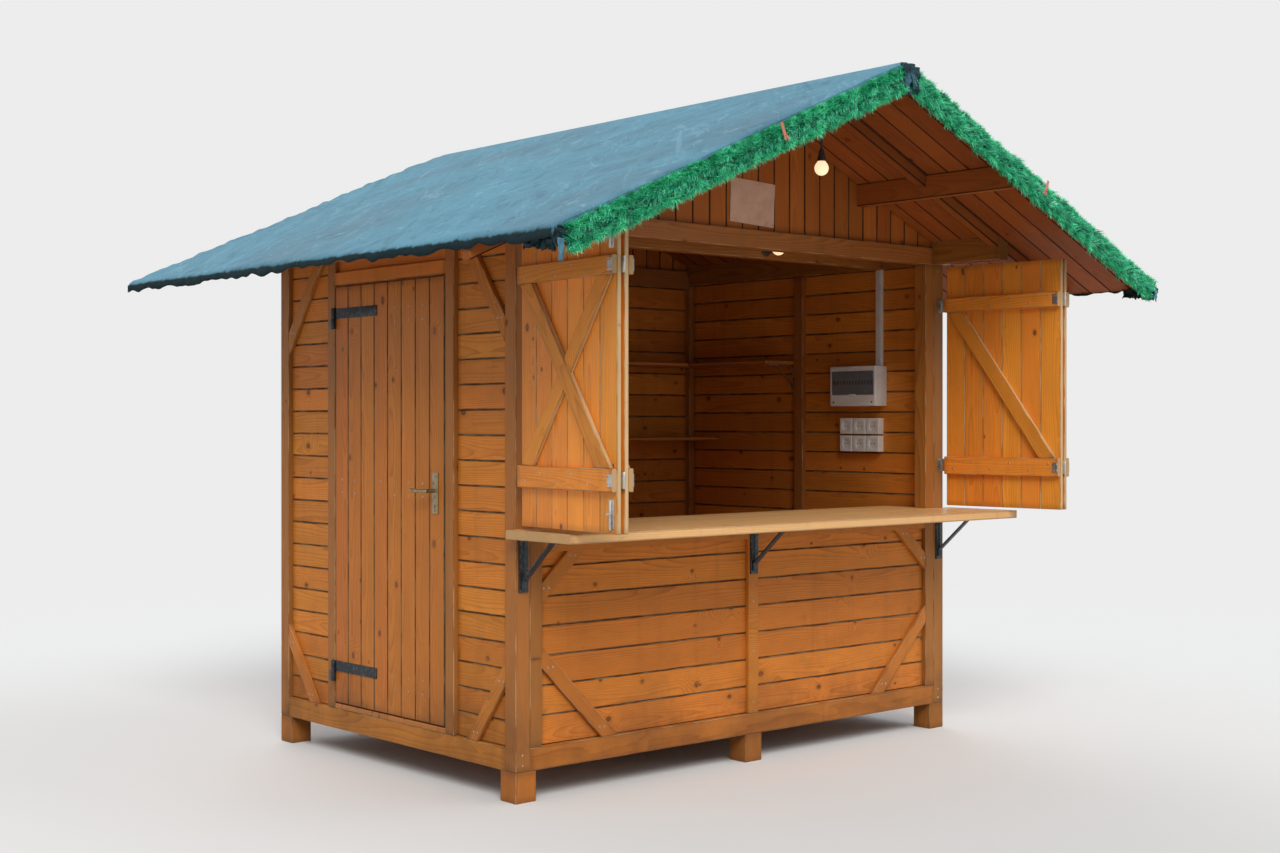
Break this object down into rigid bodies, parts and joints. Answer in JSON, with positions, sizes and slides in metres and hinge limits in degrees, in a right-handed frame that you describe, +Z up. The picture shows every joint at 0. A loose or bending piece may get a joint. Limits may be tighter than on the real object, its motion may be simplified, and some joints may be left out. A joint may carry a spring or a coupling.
{
  "type": "wooden market hut",
  "caption": "Gable-roofed timber market hut with a serving opening, folding shutters, bracketed counter and a hinged side door.",
  "frame": {"origin": "on the ground, under the middle of the overall outline", "axes": "-Y is the side with the counter, +X runs to the right as the buyer faces the counter, +Z is up"},
  "size_m": [3.6, 3.25, 2.92],
  "materials": {
    "pine_boards": "orange-brown glazed pine boards, satin",
    "pine_frame": "orange-brown glazed pine, planed, satin",
    "gable_boards": "glazed pine boards in the roof's shade, red-brown",
    "roof_wood": "dark red-brown glazed pine",
    "roofing_felt": "mineral felt, blue-green grey, matt",
    "evergreen_garland": "tinsel needles, bright green",
    "counter_wood": "pale honey pine, clear glazed",
    "bracket_steel": "black-blue powder coat",
    "shutter_boards": "orange glazed pine, satin",
    "zinc_steel": "zinc plated",
    "lamp_glass": "frosted bulb, warm",
    "white_plastic": "white, slightly glossy"
  },
  "bodies": {
    "hut": {"feet": "pine_frame", "side_sills": "pine_frame", "end_sills": "pine_frame", "floor": "pine_boards", "corner_posts": "pine_frame", "front_jamb_posts": "pine_frame", "front_lower_wall": "pine_boards", "front_trim": "pine_frame", "rear_wall": "pine_boards", "rear_trim": "pine_frame", "right_wall": "pine_boards", "right_trim": "pine_frame", "left_wall_front": "pine_boards", "left_wall_rear": "pine_boards", "left_wall_head": "pine_boards", "door_jambs": "pine_frame", "left_trim": "pine_frame", "wall_studs": "pine_frame", "end_beams": "pine_frame", "top_plates": "pine_frame", "tie_beam": "pine_frame", "front_gable": "gable_boards", "rear_gable": "gable_boards", "ridge_purlin": "roof_wood", "side_purlins": "roof_wood", "fly_rafters": "roof_wood", "left_roof_boards": "roof_wood", "right_roof_boards": "roof_wood", "roof_felt": "roofing_felt", "garland": "evergreen_garland", "outer_counter": "counter_wood", "inner_counter": "counter_wood", "counter_brackets": "bracket_steel", "shelves": "pine_boards", "shelf_brackets": "zinc_steel", "left_shutters": "shutter_boards", "right_shutters": "shutter_boards", "shutter_hinges": "zinc_steel", "lamps": "lamp_glass", "switch_box": "white_plastic", "sockets": "white_plastic", "hinge_pins": "bracket_steel"},
    "door": {"side_door": "shutter_boards", "door_hinges": "bracket_steel", "door_handle": "zinc_steel"}
  },
  "joints": [
    {"name": "door_hinge", "type": "hinge", "parent": "hut", "child": "door", "pos_m": [-1.311, 0.597, 1.2], "axis": [0, 0, -1], "range_deg": [0, 105]}
  ]
}
